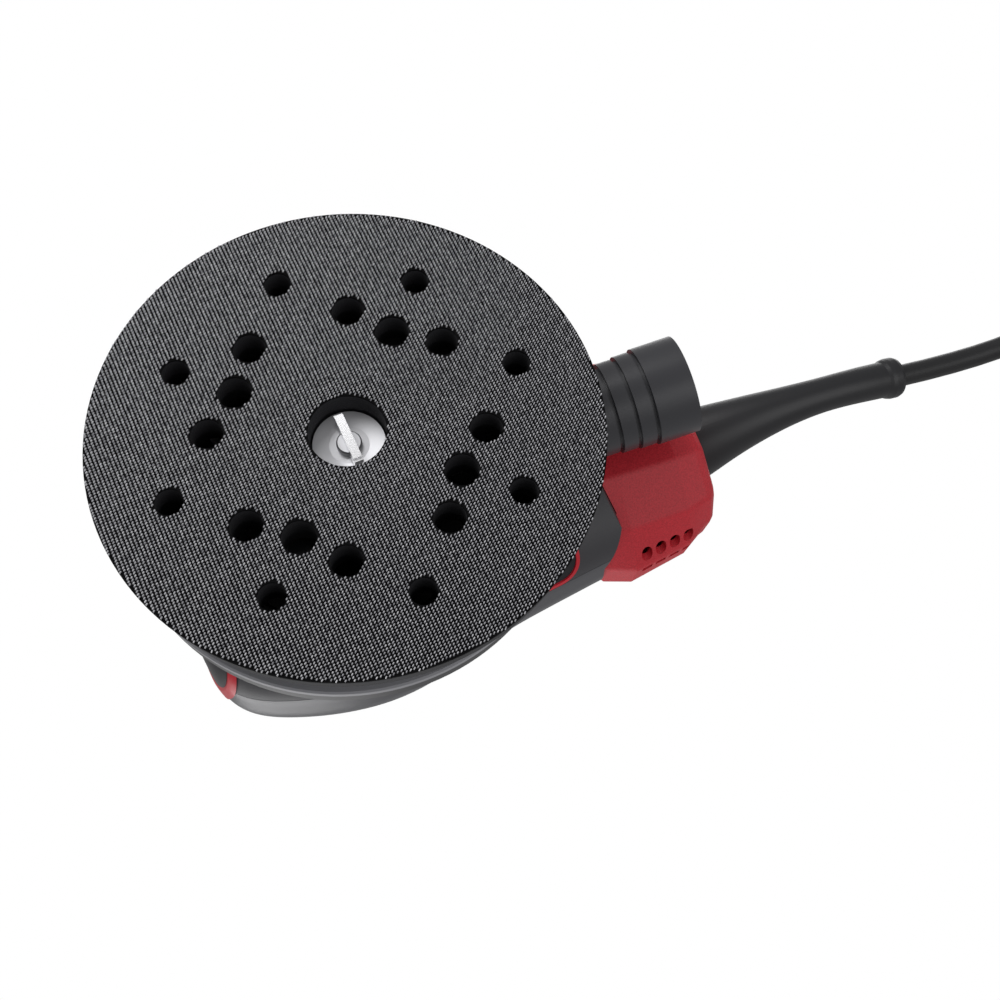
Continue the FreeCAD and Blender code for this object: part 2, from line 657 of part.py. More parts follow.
# ---- Housing shells -------------------------------------------------------------------

def section_wire(x, half_width, z_low, z_high):
    """Closed squared-oval section of the head and tail."""
    middle = (z_low + z_high) / 2
    half_height = (z_high - z_low) / 2
    power = 2.0 / BODY_SQUARENESS
    points = []
    for i in range(SECTION_POINTS):
        c = math.cos(2 * math.pi * i / SECTION_POINTS)
        s = math.sin(2 * math.pi * i / SECTION_POINTS)
        y = half_width * math.copysign(abs(c) ** power, c)
        z = middle + half_height * math.copysign(abs(s) ** power, s)
        points.append(V(x, y, z))
    curve = Part.BSplineCurve()
    curve.interpolate(Points=points, PeriodicFlag=True)
    return Part.Wire([curve.toShape()])


def head_form(offset):
    """Head and tail as one solid, its skin moved outwards by offset."""
    nose_x = BODY_STATIONS[0][0]
    wires = []
    for x, half_width, z_low, z_high in BODY_STATIONS:
        station = x * (1 - offset / nose_x) if x < 0 else x
        wires.append(section_wire(station, half_width + offset, z_low - offset, z_high + offset))
    return Part.makeLoft(wires, True, False)


def neck_form(offset):
    """Round neck between shroud and head."""
    return disc(NECK_R + offset, SHROUD_TOP_Z, NECK_TOP_Z, MOTOR_X)


def body_form(offset):
    return head_form(offset).fuse(neck_form(offset))


def stripe_plane_x(z):
    return STRIPE_X + STRIPE_LEAN * (z - STRIPE_REF_Z)


def between_x(front, rear, z0=30.0, z1=140.0):
    """Prism between two lines that lean like the stripe; None means open ended."""
    lines = []
    for shift, far in ((front, -120.0), (rear, 120.0)):
        if shift is None:
            lines.append((far, far))
        else:
            lines.append((stripe_plane_x(z0) + shift, stripe_plane_x(z1) + shift))
    (f0, f1), (r0, r1) = lines
    return side_prism([(f0, z0), (r0, z0), (r1, z1), (f1, z1)])


def ahead_of_seam(gap):
    outline = [(x - gap, z) for x, z in SEAM_LINE]
    return side_prism(outline + [(-120.0, 130.0), (-120.0, 40.0)])


def behind_seam(gap):
    outline = [(x + gap, z) for x, z in SEAM_LINE]
    return side_prism(outline + [(160.0, 130.0), (160.0, 40.0)])


def grip_prism(margin, side):
    """Side-view outline of a finger grip, grown by margin."""
    corner = GRIP_CORNER + margin
    x0 = GRIP_X[0] - margin
    x1 = GRIP_X[1] + margin
    z0 = GRIP_Z[0] - margin
    z1 = GRIP_Z[1] + margin
    y0, y1 = (GRIP_MIN_Y - margin, 80.0) if side > 0 else (-80.0, -GRIP_MIN_Y + margin)
    body = block(x0, x1, y0, y1, z0, z1)
    edges = [e for e in body.Edges if abs(e.tangentAt(e.FirstParameter).y) > 0.9]
    return body.makeFillet(corner, edges)


class Housing:
    """The forms that all housing mouldings are cut from."""

    def __init__(self):
        self.outer = body_form(0.0)
        self.inner = body_form(-WALL)
        self.head_outer = head_form(0.0)
        self.head_inner = head_form(-WALL)
        self.shell = self.outer.cut(self.inner)
        self.head_shell = self.head_outer.cut(self.head_inner)
        self.grip_outer = body_form(GRIP_PROUD)
        self.piping_outer = body_form(PIPING_PROUD)
        self.grip_inner = body_form(-GRIP_DEPTH)
        self.behind_stripe = between_x(STRIPE_W / 2 + SEAM_GAP / 2, None)


def lower_housing(forms):
    region = block(-90, 90, -90, 90, SHROUD_TOP_Z, COVER_LOW_Z - SEAM_GAP / 2)
    body = forms.shell.common(region).common(forms.behind_stripe).common(ahead_of_seam(SEAM_GAP / 2))
    for side in (-1, 1):
        pocket = grip_prism(PIPING_W + 0.05, side).cut(forms.grip_inner)
        body = body.cut(pocket)
    return body


def finger_grip(forms, side):
    return grip_prism(0.0, side).common(forms.grip_outer).cut(forms.grip_inner)


def grip_piping(forms):
    loops = []
    for side in (-1, 1):
        band = grip_prism(PIPING_W, side).cut(grip_prism(0.02, side))
        loops.append(band.common(forms.piping_outer).cut(forms.grip_inner))
    return group(loops)


def side_cover(forms, side):
    y0, y1 = (0.0, 90.0) if side > 0 else (-90.0, 0.0)
    region = block(-90, 90, y0, y1, COVER_LOW_Z + SEAM_GAP / 2, COVER_HIGH_Z - SEAM_GAP / 2)
    body = forms.head_shell.common(region).common(forms.behind_stripe)
    return body.common(ahead_of_seam(SEAM_GAP / 2))


def front_nose(forms):
    return forms.shell.common(between_x(None, -STRIPE_W / 2 - SEAM_GAP / 2))


def front_stripe(forms):
    proud = body_form(STRIPE_PROUD).cut(forms.inner)
    return proud.common(between_x(-STRIPE_W / 2, STRIPE_W / 2))


def top_region(x0, x1):
    return block(x0, x1, -90, 90, COVER_HIGH_Z + SEAM_GAP / 2, 140)


def palm_grip(forms):
    proud = head_form(PALM_PROUD).cut(forms.head_inner)
    return proud.common(top_region(-90, PALM_END_X - SEAM_GAP / 2)).common(forms.behind_stripe)


def key_prism(margin, z0, z1):
    half = KEY_W / 2 + margin
    body = block(KEY_X[0] - margin, KEY_X[1] + margin, -half, half, z0, z1)
    edges = [e for e in body.Edges if abs(e.tangentAt(e.FirstParameter).z) > 0.9]
    return body.makeFillet(KEY_CORNER + margin, edges)


def wheel_centre_z():
    return WHEEL_TOP_Z - WHEEL_R


def tail_deck(forms):
    """Top moulding behind the palm grip, with its posts for switch and dial."""
    shell = forms.head_shell.common(top_region(PALM_END_X + SEAM_GAP / 2, 90))
    core = head_form(-WALL / 2)
    half = SWITCH_W / 2
    dial_y = WHEEL_W / 2 + MOVING_GAP + DIAL_BLOCK_W
    posts = [
        block(KEY_X[0], KEY_X[1], half, half + POST_T, SWITCH_Z[0] + 6, 120),
        block(KEY_X[0], KEY_X[1], -half - POST_T, -half, SWITCH_Z[0] + 6, 120),
        block(WHEEL_X - 6, WHEEL_X + 6, dial_y, dial_y + POST_T, wheel_centre_z() - 5, 120)]
    body = joined([shell] + [post.common(core) for post in posts])
    slot_x = WHEEL_R + MOVING_GAP
    slot_y = WHEEL_W / 2 + MOVING_GAP
    slot = block(WHEEL_X - slot_x, WHEEL_X + slot_x, -slot_y, slot_y, KEY_FOOT_Z - 5, 120)
    body = body.cut([key_prism(MOVING_GAP, 95, 125), slot])
    return body.common(ahead_of_seam(SEAM_GAP / 2))


# ---- Controls -------------------------------------------------------------------------

def power_key():
    return key_prism(0.0, KEY_FOOT_Z, 125).common(head_form(KEY_PROUD))


def switch_module():
    return block(KEY_X[0], KEY_X[1], -SWITCH_W / 2, SWITCH_W / 2, SWITCH_Z[0], SWITCH_Z[1])


def key_spring():
    height = KEY_FOOT_Z - SWITCH_Z[1] - 2 * SPRING_WIRE_R
    helix = Part.makeHelix(height / SPRING_TURNS, height, SPRING_R)
    start = V(SPRING_R, 0, 0)
    section = Part.Wire([Part.makeCircle(SPRING_WIRE_R, start, V(0, 1, 0))])
    coil = Part.Wire(helix.Edges).makePipeShell([section], True, True)
    coil.translate(V((KEY_X[0] + KEY_X[1]) / 2, 0, SWITCH_Z[1] + SPRING_WIRE_R))
    return coil


def across(radius, x, z, y0, y1):
    """Round bar across the machine."""
    return Part.makeCylinder(radius, y1 - y0, V(x, y0, z), V(0, 1, 0))


def speed_wheel():
    """Thumb wheel with scalloped grips round its edge."""
    z = wheel_centre_z()
    half = WHEEL_W / 2
    body = across(WHEEL_R, WHEEL_X, z, -half, half)
    body = body.cut(across(AXLE_R + RUNNING_FIT, WHEEL_X, z, -half - 1, half + 1))
    for i in range(24):
        a = math.radians(15.0 * i)
        body = body.cut(across(0.5, WHEEL_X + WHEEL_R * math.cos(a), z + WHEEL_R * math.sin(a), -half, half))
    return body


def dial_block():
    z = wheel_centre_z()
    y0 = WHEEL_W / 2 + MOVING_GAP
    body = block(WHEEL_X - 6, WHEEL_X + 6, y0, y0 + DIAL_BLOCK_W, z - 6, z + AXLE_R + 0.4)
    axle = across(AXLE_R, WHEEL_X, z, -WHEEL_W / 2 - 1, y0 + 1)
    return body.fuse(axle).removeSplitter()


def control_module():
    """Potted motor electronics on the floor of the tail."""
    length, width, height = MODULE_SIZE
    floor = cap_floor_z()
    body = block(MODULE_X, MODULE_X + length, -width / 2, width / 2, floor, floor + height)
    fins = []
    for i in range(4):
        x = MODULE_X + 2 + 3.6 * i
        fins.append(block(x, x + 1.4, -width / 2, width / 2, floor + height, floor + height + 4))
    return joined([body] + fins)


# ---- Tail cap -------------------------------------------------------------------------

def rounded_wire(corners, radius):
    """Closed outline with an arc of the given radius at each corner."""
    edges = []
    count = len(corners)
    starts = []
    ends = []
    for i, corner in enumerate(corners):
        before = (corners[i - 1] - corner).normalize()
        after = (corners[(i + 1) % count] - corner).normalize()
        half = before.getAngle(after) / 2
        reach = radius / math.tan(half)
        inward = (before + after).normalize()
        middle = corner + inward * (radius / math.sin(half) - radius)
        starts.append(corner + before * reach)
        ends.append(corner + after * reach)
        edges.append(Part.Arc(starts[i], middle, ends[i]).toShape())
    lines = [Part.LineSegment(ends[i - 1], starts[i]).toShape() for i in range(count)]
    return Part.Wire([edge for pair in zip(lines, edges) for edge in pair])


def cap_wire(x, half_outline, inset, radius):
    """Closed faceted section, drawn in towards its middle by the inset."""
    low = half_outline[0][1]
    high = half_outline[-1][1]
    wide = max(y for y, z in half_outline)
    scale_y = 1 - inset / wide
    scale_low = 1 - inset / (CAP_MIDDLE_Z - low)
    scale_high = 1 - inset / (high - CAP_MIDDLE_Z)
    right = []
    for y, z in half_outline:
        scale_z = scale_low if z < CAP_MIDDLE_Z else scale_high
        right.append((y * scale_y, CAP_MIDDLE_Z + (z - CAP_MIDDLE_Z) * scale_z))
    left = [(-y, z) for y, z in reversed(right)]
    return rounded_wire([V(x, y, z) for y, z in right + left], radius)


def cap_floor_z():
    return CAP_FRONT[0][1] + WALL


def cap_outside():
    """Faceted outer form of the cap, rounded off towards its rear face."""
    stations = [(x, outline, 0.0) for x, outline in zip(CAP_X, CAP_OUTLINES)]
    stations += [(CAP_X[-1] + out, CAP_REAR, inset) for out, inset in CAP_REAR_ROUNDING]
    wires = [cap_wire(x, outline, inset, CAP_FILLET) for x, outline, inset in stations]
    return Part.makeLoft(wires, True, True)


def cap_inside():
    wires = [cap_wire(x, outline, WALL, CAP_FILLET - 1) for x, outline in zip(CAP_X, CAP_OUTLINES)]
    return Part.makeLoft(wires, True, True)


def heading(angle):
    """Unit vector in the symmetry plane, angle up from the tail's direction in radians."""
    return V(math.cos(angle), 0, math.sin(angle))


def lead_place(s):
    """Point and angle of the lead's middle line at a distance s from its root."""
    drop = math.radians(LEAD_DROP)
    if s <= 0:
        return LEAD_ROOT + heading(-drop) * s, -drop
    turn = min(s / RELIEF_BEND_R, drop + math.radians(LEAD_RISE))
    angle = turn - drop
    centre = LEAD_ROOT + V(math.sin(drop), 0, math.cos(drop)) * RELIEF_BEND_R
    on_arc = centre + V(math.sin(angle), 0, -math.cos(angle)) * RELIEF_BEND_R
    return on_arc + heading(angle) * (s - turn * RELIEF_BEND_R), angle


def lead_rod(radius, start, end, end_radius=None):
    """Round bar or cone on a straight stretch of the lead's middle line."""
    base, angle = lead_place(start)
    if end_radius is None:
        return Part.makeCylinder(radius, end - start, base, heading(angle))
    return Part.makeCone(radius, end_radius, end - start, base, heading(angle))


def clamp_lead():
    """Place of the inner end of the lead, and the height of its level stretch."""
    drop = math.radians(LEAD_DROP)
    bend_end = lead_place(-INNER_STRAIGHT)[0]
    level = bend_end + V(-math.sin(drop), 0, 1 - math.cos(drop)) * INNER_BEND_R
    return level - V(INNER_LEVEL, 0, 0), level


def lead_wire():
    """The lead's middle line from its clamp inside the tail to the end of the strain relief."""
    drop = math.radians(LEAD_DROP)
    inner_end, level = clamp_lead()
    straight = lead_place(-INNER_STRAIGHT)[0]
    inner_centre = level - V(0, 0, INNER_BEND_R)
    inner_middle = inner_centre + V(math.sin(drop / 2), 0, math.cos(drop / 2)) * INNER_BEND_R
    sweep = (drop + math.radians(LEAD_RISE)) * RELIEF_BEND_R
    return Part.Wire([
        Part.LineSegment(inner_end, level).toShape(),
        Part.Arc(level, inner_middle, straight).toShape(),
        Part.LineSegment(straight, LEAD_ROOT).toShape(),
        Part.Arc(LEAD_ROOT, lead_place(sweep / 2)[0], lead_place(sweep)[0]).toShape(),
        Part.LineSegment(lead_place(sweep)[0], lead_place(RELIEF_END)[0]).toShape()])


def lead_tube(radius):
    section = Part.Wire([Part.makeCircle(radius, clamp_lead()[0], V(1, 0, 0))])
    return lead_wire().makePipeShell([section], True, False)


def vent_cutters():
    """Four oval holes and four slots through each side wall."""
    cutters = []
    for i in range(VENTS):
        x = VENT_X + VENT_PITCH * i
        for y0, y1 in ((20.0, 50.0), (-50.0, -20.0)):
            slot = block(x - SLOT_SIZE[0] / 2, x + SLOT_SIZE[0] / 2, y0, y1,
                         SLOT_Z - SLOT_SIZE[1] / 2, SLOT_Z + SLOT_SIZE[1] / 2)
            radius = OVAL_SIZE[0] / 2
            straight = (OVAL_SIZE[1] - OVAL_SIZE[0]) / 2
            oval = block(x - radius, x + radius, y0, y1, OVAL_Z - straight, OVAL_Z + straight)
            ends = [across(radius, x, OVAL_Z + s * straight, y0, y1) for s in (-1, 1)]
            cutters += [slot, oval] + ends
    return cutters


def tail_cap():
    start, root_r, end_r = COLLAR
    outside = joined([cap_outside(), lead_rod(root_r, start, 0.0, end_r)])
    body = outside.cut(cap_inside())
    rib = block(CLAMP_X[0], CLAMP_X[1], -CLAMP_W / 2, CLAMP_W / 2, cap_floor_z() - 0.5, CLAMP_RIB_Z)
    body = joined([body, rib])
    bore = lead_rod(RELIEF_NECK_R + RUNNING_FIT, -20, 1)
    holes = clamp_screw_rods(CLAMP_RIB_Z - 8, CLAMP_RIB_Z + 1)
    return body.cut([bore] + vent_cutters() + holes).common(behind_seam(SEAM_GAP / 2))


def clamp_screw_rods(z0, z1):
    x = (CLAMP_X[0] + CLAMP_X[1]) / 2
    return [disc(CLAMP_SCREW_R, z0, z1, x, side * CLAMP_SCREW_Y) for side in (-1, 1)]


def cord_clamp():
    body = block(CLAMP_X[0], CLAMP_X[1], -CLAMP_W / 2, CLAMP_W / 2, CLAMP_RIB_Z, CLAMP_TOP_Z)
    level = clamp_lead()[1]
    groove = Part.makeCylinder(CORD_R + 0.02, 30, level - V(22, 0, 0), V(1, 0, 0))
    slot = block(CLAMP_X[0] - 1, CLAMP_X[1] + 1, -CORD_R, CORD_R, CLAMP_RIB_Z - 1, level.z - 0.6)
    return body.cut([groove, slot] + clamp_screw_rods(CLAMP_RIB_Z - 1, CLAMP_TOP_Z + 1))


def clamp_screws():
    x = (CLAMP_X[0] + CLAMP_X[1]) / 2
    screws = []
    for rod, side in zip(clamp_screw_rods(CLAMP_RIB_Z - 7.5, CLAMP_TOP_Z), (-1, 1)):
        head = disc(2 * CLAMP_SCREW_R, CLAMP_TOP_Z, CLAMP_TOP_Z + 1.8, x, side * CLAMP_SCREW_Y)
        screws.append(rod.fuse(head).removeSplitter())
    return group(screws)


# ---- Lead -----------------------------------------------------------------------------

def strain_relief():
    """Tapered rubber sleeve with a flange inside the cap and a bead at its free end."""
    rings = []
    for s, radius in RELIEF_PROFILE:
        centre, angle = lead_place(s)
        rings.append(Part.Wire([Part.makeCircle(radius, centre, heading(angle))]))
    sleeves = [Part.makeLoft(rings, True, False), lead_rod(RELIEF_NECK_R, -INNER_STRAIGHT, 0.0)]
    for (s0, r0), (s1, r1) in zip(RELIEF_BEAD, RELIEF_BEAD[1:]):
        sleeves.append(lead_rod(r0, s0, s1, r1 if abs(r0 - r1) > 0.01 else None))
    front, thickness, radius = RELIEF_FLANGE
    height = LEAD_ROOT.z + (LEAD_ROOT.x - front - thickness / 2) * math.tan(math.radians(LEAD_DROP))
    sleeves.append(Part.makeCylinder(radius, thickness, V(front, 0, height), V(1, 0, 0)))
    return joined(sleeves).cut(lead_tube(CORD_R + 0.02))


def inner_lead():
    return lead_tube(CORD_R)


def lead_exit():
    return lead_place(RELIEF_END)[0]


def coil_top_z():
    """Height of the lead's axis in the top layer of the coil."""
    return CORD_R * (1 + 2 * LAYER_NEST + 2)


def coil_outer_turn(count):
    """Radius of the outermost turn in a layer of count turns."""
    return COIL_MEAN_R + (count - 1) * CORD_R


def lead_route():
    """Corners of the lead's way from the strain relief down to the coil on the floor."""
    out = lead_exit()
    first = out + heading(math.radians(LEAD_RISE)) * LEAD_FIRST_RUN
    cx, cy = COIL_CENTRE
    side = cy - coil_outer_turn(COIL_ROWS[0])
    landing = V(cx - LEAD_LANDING, side, CORD_R)
    last = V(cx - LEAD_LAST, side, CORD_R)
    return [out, first] + LEAD_FALL + [landing, last]


def rounded_path(points):
    """Straight runs joined by tangent arcs, each as large as its two runs allow."""
    edges = []
    start = points[0]
    for i in range(1, len(points) - 1):
        before = points[i] - points[i - 1]
        after = points[i + 1] - points[i]
        turn = before.getAngle(after)
        reach = 0.45 * min(before.Length, after.Length)
        radius = reach / math.tan(turn / 2)
        print("lead corner %d: turn %.0f degrees, radius %.1f mm" % (i, math.degrees(turn), radius))
        into = points[i] - before.normalize() * reach
        out_of = points[i] + after.normalize() * reach
        inward = (after - before).normalize()
        middle = points[i] + inward * (radius / math.cos(turn / 2) - radius)
        edges.append(Part.LineSegment(start, into).toShape())
        edges.append(Part.Arc(into, middle, out_of).toShape())
        start = out_of
    edges.append(Part.LineSegment(start, points[-1]).toShape())
    return Part.Wire(edges)


def tube(points, radius):
    path = rounded_path(points)
    direction = points[1] - points[0]
    section = Part.Wire([Part.makeCircle(radius, points[0], direction)])
    body = path.makePipeShell([section], True, False)
    solid_rod = math.pi * radius ** 2 * path.Length
    print("tube volume against section times length: %.4f" % (body.Volume / solid_rod))
    print("tube length %.1f mm" % path.Length)
    return body


def plug_axis():
    """Y and Z of the straight lead that leaves the top layer for the plug."""
    return COIL_CENTRE[1] + coil_outer_turn(COIL_ROWS[-1]), coil_top_z()


def plug_rod(radius, start, end, end_radius=None):
    """Bar or cone towards the plug, distances counted from the coil's middle."""
    y, z = plug_axis()
    base = V(COIL_CENTRE[0] - start, y, z)
    if end_radius is None:
        return Part.makeCylinder(radius, end - start, base, V(-1, 0, 0))
    return Part.makeCone(radius, end_radius, end - start, base, V(-1, 0, 0))


def cord():
    """Loose lead from the strain relief to the coil, and from the coil to the plug."""
    return group([tube(lead_route(), CORD_R), plug_rod(CORD_R, PLUG_START, PLUG_START + PLUG_TAIL)])


def plug_body():
    start = PLUG_START + PLUG_TAIL
    parts = []
    for (s0, r0), (s1, r1) in zip(PLUG_BODY, PLUG_BODY[1:]):
        end_radius = r1 if abs(r0 - r1) > 0.01 else None
        parts.append(plug_rod(r0, start + s0, start + s1, end_radius))
    return joined(parts).cut(pin_rods())


def pin_rods():
    """The two contact pins, their roots inside the plug."""
    start = PLUG_START + PLUG_TAIL + PLUG_BODY[-1][0]
    rods = []
    for side in (-1, 1):
        rod = plug_rod(PIN_R, start - PIN_ROOT, start + PIN_LENGTH)
        rod.translate(V(0, side * PIN_SPACING / 2, 0))
        rods.append(rod)
    return rods


def plug_pins():
    return group(pin_rods())


def coil_tie():
    """Strap round the turns on the side that faces the tail."""
    cx, cy = COIL_CENTRE
    half = COIL_ROWS[0] * CORD_R + TIE_T
    top = coil_top_z() + CORD_R + TIE_T
    x0 = cx - COIL_MEAN_R - half
    x1 = cx - COIL_MEAN_R + half
    strap = block(x0, x1, cy - TIE_W / 2, cy + TIE_W / 2, 0, top).cut(cord_coil())
    foot = block(x0 + 1, x1 - 1, cy - TIE_W / 2, cy + TIE_W / 2, 0, TIE_FOOT)
    return joined([strap, foot])


def cord_coil():
    """Outer shape of the wound lead."""
    cx, cy = COIL_CENTRE
    widths = [count * CORD_R for count in COIL_ROWS]
    first_top = CORD_R * (1 + LAYER_NEST)
    top = coil_top_z() + CORD_R
    profile = [
        (COIL_MEAN_R - widths[0], 0), (COIL_MEAN_R + widths[0], 0), (COIL_MEAN_R + widths[0], first_top),
        (COIL_MEAN_R + widths[2], first_top + CORD_R), (COIL_MEAN_R + widths[2], top),
        (COIL_MEAN_R - widths[2], top), (COIL_MEAN_R - widths[2], first_top + CORD_R),
        (COIL_MEAN_R - widths[0], first_top)]
    body = turned(profile)
    body.translate(V(cx, cy, 0))
    return body


def build():
    os.makedirs("parts", exist_ok=True)
    save("hook_facing", hook_facing())
    save("foam_pad", foam_pad())
    save("pad_plate", pad_plate())
    save("pad_hub", pad_hub())
    save("spindle", spindle())
    save("clamp_washer", clamp_washer())
    save("clamp_screw", clamp_screw())
    save("wing_key", wing_block())
    outer, inner, balls = spindle_bearings()
    save("spindle_bearing_outer_rings", outer)
    save("spindle_bearing_inner_rings", inner)
    save("spindle_bearing_balls", balls)
    save("eccentric_carrier", eccentric_carrier())
    save("counterweight", counterweight())
    save("dust_fan", dust_fan())
    save("rotor_shaft", rotor_shaft())
    save("rotor_core", rotor_core())
    save("rotor_magnets", rotor_magnets())
    outer, inner, balls = motor_bearings()
    save("motor_bearing_outer_rings", outer)
    save("motor_bearing_inner_rings", inner)
    save("motor_bearing_balls", balls)
    save("stator_core", stator_core())
    save("stator_windings", stator_windings())
    save("motor_can", motor_can())
    save("bearing_plate", bearing_plate())
    save("flange_screws", flange_screws())
    save("dust_shroud", dust_shroud())
    save("shroud_rim", shroud_rim())
    save("brake_skirt", brake_skirt())
    save("hose_adaptor", hose_adaptor())
    forms = Housing()
    save("lower_housing", lower_housing(forms))
    save("left_finger_grip", finger_grip(forms, -1))
    save("right_finger_grip", finger_grip(forms, 1))
    save("grip_piping", grip_piping(forms))
    save("left_side_cover", side_cover(forms, -1))
    save("right_side_cover", side_cover(forms, 1))
    save("front_nose", front_nose(forms))
    save("front_stripe", front_stripe(forms))
    save("palm_grip", palm_grip(forms))
    save("tail_deck", tail_deck(forms))
    save("power_key", power_key())
    save("switch_module", switch_module())
    save("key_spring", key_spring())
    save("speed_wheel", speed_wheel())
    save("dial_block", dial_block())
    save("control_module", control_module())
    save("tail_cap", tail_cap())
    save("cord_clamp", cord_clamp())
    save("cord_clamp_screws", clamp_screws())
    save("strain_relief", strain_relief())
    save("inner_lead", inner_lead())
    save("cord", cord())
    save("cord_coil", cord_coil())
    save("coil_tie", coil_tie())
    save("plug_body", plug_body())
    save("plug_pins", plug_pins())


build()
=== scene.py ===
import math
import random

import bmesh
import bpy
from mathutils import Matrix, Vector
from mathutils.bvhtree import BVHTree


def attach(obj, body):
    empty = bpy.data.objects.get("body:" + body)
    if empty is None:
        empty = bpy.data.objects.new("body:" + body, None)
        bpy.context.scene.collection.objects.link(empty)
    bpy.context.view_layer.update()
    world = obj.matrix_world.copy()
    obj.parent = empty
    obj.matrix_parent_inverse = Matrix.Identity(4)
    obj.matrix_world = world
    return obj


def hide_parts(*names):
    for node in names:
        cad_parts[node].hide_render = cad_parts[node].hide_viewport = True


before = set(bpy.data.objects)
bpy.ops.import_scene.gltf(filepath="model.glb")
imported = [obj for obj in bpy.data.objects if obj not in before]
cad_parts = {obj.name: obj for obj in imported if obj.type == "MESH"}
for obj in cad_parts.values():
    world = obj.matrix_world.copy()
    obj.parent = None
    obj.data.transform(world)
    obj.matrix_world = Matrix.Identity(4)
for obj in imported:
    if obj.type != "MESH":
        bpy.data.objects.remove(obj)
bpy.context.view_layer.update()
random.seed(7)

# ---------------------------------------------------------------------------
# Hook facing. The pad's working face is a woven nylon tape covered in small
# cut hooks, glued to the foam. The base cloth is near black and the hooks are
# pale, half-clear monofilament that stand in straight courses and wales.


def linear(code):
    """Turns an sRGB hex colour to the linear values that a shader takes."""
    parts = [int(code[i:i + 2], 16) / 255 for i in (1, 3, 5)]
    return tuple(p / 12.92 if p <= 0.04045 else ((p + 0.055) / 1.055) ** 2.4
                 for p in parts) + (1.0,)


def add(material, kind, inputs=None, **settings):
    """Adds one shader node. An input that is another node's socket is linked, and any other is set."""
    tree = material.node_tree
    node = tree.nodes.new("ShaderNode" + kind)
    for name, value in settings.items():
        setattr(node, name, value)
    for name, value in (inputs or {}).items():
        if isinstance(value, bpy.types.NodeSocket):
            tree.links.new(value, node.inputs[name])
        else:
            node.inputs[name].default_value = value
    return node


def new_material(name):
    """An empty node material, with its output node ready for a shader."""
    material = bpy.data.materials.new(name)
    material.use_nodes = True
    for node in list(material.node_tree.nodes):
        if node.type != "OUTPUT_MATERIAL":
            material.node_tree.nodes.remove(node)
    return material


def close(material, shader):
    """Joins the last shader to the material's output."""
    output = material.node_tree.nodes["Material Output"]
    material.node_tree.links.new(shader.outputs[0], output.inputs["Surface"])
    return material


def dress(node, material):
    """Gives a CAD piece its finish in place of the plain one."""
    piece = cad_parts[node]
    piece.data.materials.clear()
    piece.data.materials.append(material)


def joined_copy(node, name, material, slot, body, crease=32):
    """A copy of a CAD piece with its loose triangles merged and smooth shading up to the crease angle."""
    bm = bmesh.new()
    bm.from_mesh(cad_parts[node].data)
    bmesh.ops.remove_doubles(bm, verts=bm.verts, dist=0.000004)
    for face in bm.faces:
        face.smooth = True
    for edge in bm.edges:
        edge.smooth = edge.calc_face_angle(0.0) < math.radians(crease)
    mesh = bpy.data.meshes.new(name)
    bm.to_mesh(mesh)
    bm.free()
    return place(mesh, name, material, slot, body, [node])


def place(mesh, name, material, slot, body, nodes):
    """Puts a finished mesh in the scene, on its body, in the place of its CAD nodes."""
    piece = bpy.data.objects.new(name, mesh)
    bpy.context.scene.collection.objects.link(piece)
    mesh.materials.clear()
    mesh.materials.append(material)
    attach(piece, body)
    if nodes:
        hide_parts(*nodes)
    return piece


# black woven nylon ground, dull and slightly hairy
ground_cloth = new_material("woven_nylon_ground")
close(ground_cloth, add(ground_cloth, "BsdfPrincipled", {
    "Base Color": linear("#060608"), "Roughness": 0.9, "Specular IOR Level": 0.15}))

# cut nylon monofilament: pale grey, half clear, worn unevenly from patch to patch
hook_filament = new_material("nylon_hook_filament")
spot = add(hook_filament, "TexCoord")
patch = add(hook_filament, "TexNoise", {
    "Vector": spot.outputs["Object"], "Scale": 700.0, "Detail": 1.0})
tone = add(hook_filament, "ValToRGB", {"Fac": patch.outputs["Fac"]})
tone.color_ramp.elements[0].position = 0.30
tone.color_ramp.elements[0].color = linear("#8e8e94")
tone.color_ramp.elements[1].position = 0.70
tone.color_ramp.elements[1].color = linear("#e2e2e6")
close(hook_filament, add(hook_filament, "BsdfPrincipled", {
    "Base Color": tone.outputs["Color"], "Roughness": 0.4, "IOR": 1.53}))

HOOK_HEIGHT = 0.00055
COURSE_PITCH = 0.000902
WALE_PITCH = 0.001124
WEAVE_TURN = math.radians(-6.6)
HOOK_LEAN = math.radians(-45)
HOOK_HALF_LENGTH = 0.00042
HOOK_HALF_WIDTH = 0.00018

bm = bmesh.new()
bm.from_mesh(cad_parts["hook_facing"].data)
bmesh.ops.remove_doubles(bm, verts=bm.verts, dist=0.000004)
for vert in bm.verts:
    if vert.co.z < 0.0001:
        vert.co.z = HOOK_HEIGHT
mesh = bpy.data.meshes.new("hook_ground")
bm.to_mesh(mesh)
bm.free()
hook_ground = place(mesh, "hook_ground", ground_cloth, "hook_fabric", "pad", [])

